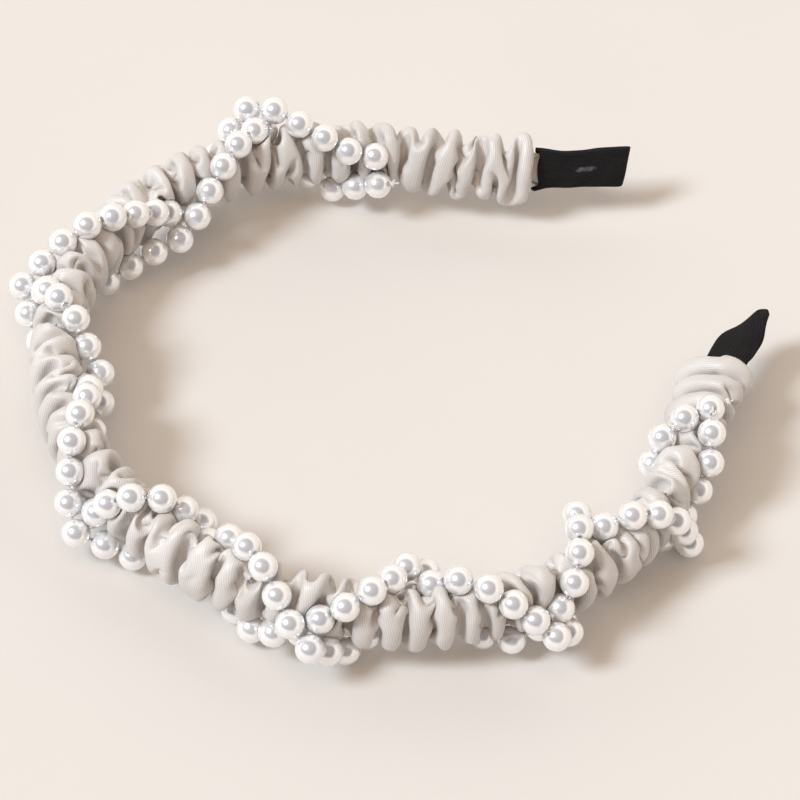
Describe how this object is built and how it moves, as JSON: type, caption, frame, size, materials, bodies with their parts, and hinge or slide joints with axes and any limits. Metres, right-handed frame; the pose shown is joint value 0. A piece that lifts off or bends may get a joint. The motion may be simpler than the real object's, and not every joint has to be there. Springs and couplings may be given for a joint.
{
  "type": "beaded headband",
  "caption": "Sprung hair headband in a gathered satin sleeve, wound along its length with crossing strands of pearl beads, with flat ribbed black end covers.",
  "frame": {"origin": "Middle of the crown's inner face, where the band rests on the top of the head.", "axes": "The band lies flat. +Y runs from the crown towards the tips, +Z runs along the band's width, and +X points to the right arm."},
  "size_m": [0.1574, 0.1687, 0.0272],
  "materials": {
    "spring_steel": "plain spring steel strip, hidden inside the sleeve",
    "satin": "light greige satin with a soft sheen, gathered crosswise",
    "ribbed_black": "matte black fabric with fine lengthwise ribs",
    "pearl": "glossy white imitation pearl coating",
    "thread": "clear to white nylon thread"
  },
  "bodies": {
    "crown": {"pearls_a_crown_1": "pearl", "pearls_a_crown_2": "pearl", "pearls_b_crown_1": "pearl", "pearls_b_crown_2": "pearl", "sleeve_crown": "satin", "spring_strip_crown": "spring_steel", "thread_a_crown": "thread", "thread_b_crown": "thread"},
    "left_arm": {"knot_a_left": "thread", "knot_b_left": "thread", "left_end_cover": "ribbed_black", "pearls_a_left_arm_1": "pearl", "pearls_a_left_arm_2": "pearl", "pearls_a_left_arm_3": "pearl", "pearls_a_left_arm_4": "pearl", "pearls_b_left_arm_1": "pearl", "pearls_b_left_arm_2": "pearl", "pearls_b_left_arm_3": "pearl", "pearls_b_left_arm_4": "pearl", "sleeve_left_arm": "satin", "spring_strip_left_arm": "spring_steel", "thread_a_left_arm": "thread", "thread_b_left_arm": "thread"},
    "right_arm": {"knot_a_right": "thread", "knot_b_right": "thread", "pearls_a_right_arm_1": "pearl", "pearls_a_right_arm_2": "pearl", "pearls_a_right_arm_3": "pearl", "pearls_a_right_arm_4": "pearl", "pearls_b_right_arm_1": "pearl", "pearls_b_right_arm_2": "pearl", "pearls_b_right_arm_3": "pearl", "pearls_b_right_arm_4": "pearl", "pearls_b_right_arm_5": "pearl", "right_end_cover": "ribbed_black", "sleeve_right_arm": "satin", "spring_strip_right_arm": "spring_steel", "thread_a_right_arm": "thread", "thread_b_right_arm": "thread"}
  },
  "joints": [
    {"name": "left_arm_flex", "type": "hinge", "parent": "crown", "child": "left_arm", "pos_m": [-0.02722, 0.004, 0], "axis": [0, 0, 1], "range_deg": [-3, 14], "stiffness_Nm_per_rad": 1},
    {"name": "right_arm_flex", "type": "hinge", "parent": "crown", "child": "right_arm", "pos_m": [0.02722, 0.004, 0], "axis": [0, 0, -1], "range_deg": [-3, 14], "stiffness_Nm_per_rad": 1}
  ]
}
